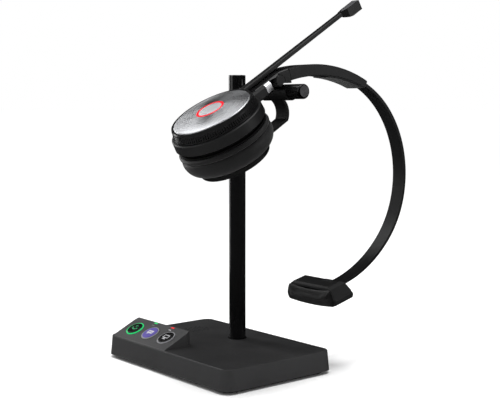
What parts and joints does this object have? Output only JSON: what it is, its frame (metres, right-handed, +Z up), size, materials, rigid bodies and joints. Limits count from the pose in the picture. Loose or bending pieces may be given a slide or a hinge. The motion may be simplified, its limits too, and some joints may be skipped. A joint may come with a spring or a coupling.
{
  "type": "office headset",
  "caption": "Wireless single-ear office headset with a swinging microphone boom, hanging from the peg of a weighted charging stand with a button panel.",
  "frame": {"origin": "on the desk, under the middle of the stand's base", "axes": "+Z up; +X along the base's long front edge, towards the free end of the peg; +Y towards the back"},
  "size_m": [0.1349, 0.1851, 0.2347],
  "materials": {
    "base_plastic": "fine-textured charcoal moulding",
    "panel_plastic": "fine-textured charcoal moulding",
    "mat_rubber": "matt black rubber",
    "plain_steel": "zinc-plated steel",
    "board_green": "solder-masked board",
    "socket_metal": "nickel-plated shell",
    "speaker_black": "paper cone and basket",
    "pole_black": "black anodised tube",
    "peg_dark": "dark anodised rod",
    "peg_cap": "spun dark metal",
    "bracket_plastic": "soft black moulding",
    "contact_gold": "gold-plated pins",
    "magnet": "sintered magnet",
    "cap_silver": "circular-brushed silver",
    "light_red": "lit red ring",
    "key_silver": "circular-brushed silver",
    "headset_plastic": "soft-touch dark grey",
    "ring_plastic": "black ribbed ring",
    "neck_plastic": "deep black moulding",
    "battery_wrap": "sleeved cell",
    "driver_black": "driver basket",
    "screen_cloth": "acoustic cloth",
    "leatherette": "soft black leatherette",
    "boom_plastic": "satin dark grey",
    "mic_plastic": "satin black",
    "mic_mesh": "grey perforated insert",
    "slider_metal": "bright brushed metal",
    "rail_steel": "blackened spring steel",
    "arm_gloss": "polished black",
    "band_plastic": "satin dark grey",
    "pad_lining": "soft black lining",
    "strap_plastic": "satin black over spring steel",
    "temple_plastic": "satin dark grey",
    "temple_leather": "smooth black pad",
    "key_black": "black key",
    "key_purple": "purple key",
    "ring_green": "lit green ring",
    "ring_grey": "light grey ring",
    "led_green": "lit green light pipe",
    "led_red": "lit red light pipe"
  },
  "bodies": {
    "stand": {"base_top_shell": "base_plastic", "control_panel": "panel_plastic", "base_bottom_plate": "base_plastic", "base_mat": "mat_rubber", "base_screws": "plain_steel", "ballast_plate": "plain_steel", "main_board": "board_green", "usb_sockets": "socket_metal", "desk_speaker": "speaker_black", "control_board": "board_green", "pole": "pole_black", "pole_collar": "neck_plastic", "pole_screw": "plain_steel", "peg": "peg_dark", "peg_end_cap": "peg_cap", "peg_saddle": "bracket_plastic", "charging_bracket": "bracket_plastic", "cradle_disc": "bracket_plastic", "cradle_magnet": "magnet", "contact_pins": "contact_gold", "button_ring_left": "ring_green", "button_ring_middle": "ring_grey", "button_ring_right": "ring_grey", "call_led": "led_green", "alert_led": "led_red"},
    "button_left": {"button_cap_left": "key_black"},
    "button_middle": {"button_cap_middle": "key_purple"},
    "button_right": {"button_cap_right": "key_black"},
    "ear_cup": {"cup_cap": "cap_silver", "cup_light_ring": "light_red", "cup_housing": "headset_plastic", "cup_board": "board_green", "battery": "battery_wrap", "baffle_plate": "neck_plastic", "speaker_driver": "driver_black", "driver_screen": "screen_cloth", "ear_cushion": "leatherette", "cup_screws": "plain_steel", "yoke_block": "headset_plastic", "block_cover": "arm_gloss"},
    "centre_key": {"cup_key": "key_silver"},
    "boom": {"boom_ring": "ring_plastic", "boom_arm": "boom_plastic", "mic_head": "mic_plastic", "mic_grille": "mic_mesh", "mic_capsule": "driver_black"},
    "arm": {"swivel_pin": "rail_steel", "metal_slider": "slider_metal", "slider_rail": "rail_steel", "arm_barrel": "band_plastic", "arm_housing": "band_plastic", "arm_cover": "arm_gloss"},
    "band": {"band_sleeve": "band_plastic", "band_pad": "pad_lining", "strap": "strap_plastic"},
    "temple_pad": {"temple_shell": "temple_plastic", "temple_pin": "plain_steel", "temple_cushion": "temple_leather"}
  },
  "joints": [
    {"name": "headset_lift_off", "type": "slide", "parent": "stand", "child": "ear_cup", "axis": [0.7071, -0.3695, 0.6029], "range_m": [0, 0.11]},
    {"name": "left_button_press", "type": "slide", "parent": "stand", "child": "button_left", "axis": [0, 0.4269, -0.9043], "range_m": [0, 0.0007], "stiffness_N_per_m": 400, "springref_m": -0.001},
    {"name": "middle_button_press", "type": "slide", "parent": "stand", "child": "button_middle", "axis": [0, 0.4269, -0.9043], "range_m": [0, 0.0007], "stiffness_N_per_m": 400, "springref_m": -0.001},
    {"name": "right_button_press", "type": "slide", "parent": "stand", "child": "button_right", "axis": [0, 0.4269, -0.9043], "range_m": [0, 0.0007], "stiffness_N_per_m": 400, "springref_m": -0.001},
    {"name": "centre_key_press", "type": "slide", "parent": "ear_cup", "child": "centre_key", "axis": [0, 0.5225, -0.8526], "range_m": [0, 0.0005], "stiffness_N_per_m": 400, "springref_m": -0.001},
    {"name": "boom_swing", "type": "hinge", "parent": "ear_cup", "child": "boom", "pos_m": [0.041, -0.03505, 0.16298], "axis": [0, -0.5225, 0.8526], "range_deg": [-160, 160]},
    {"name": "cup_swivel", "type": "hinge", "parent": "ear_cup", "child": "arm", "pos_m": [0.041, -0.00359, 0.17288], "axis": [0, 0.8526, 0.5225], "range_deg": [-6, 6]},
    {"name": "band_extend", "type": "hinge", "parent": "arm", "child": "band", "pos_m": [0.041, 0.044, 0.0915], "axis": [-1, 0, 0], "range_deg": [0, 14.5]},
    {"name": "temple_tilt", "type": "hinge", "parent": "band", "child": "temple_pad", "pos_m": [0.041, 0.06329, 0.0499], "axis": [1, 0, 0], "range_deg": [-15, 20]}
  ]
}
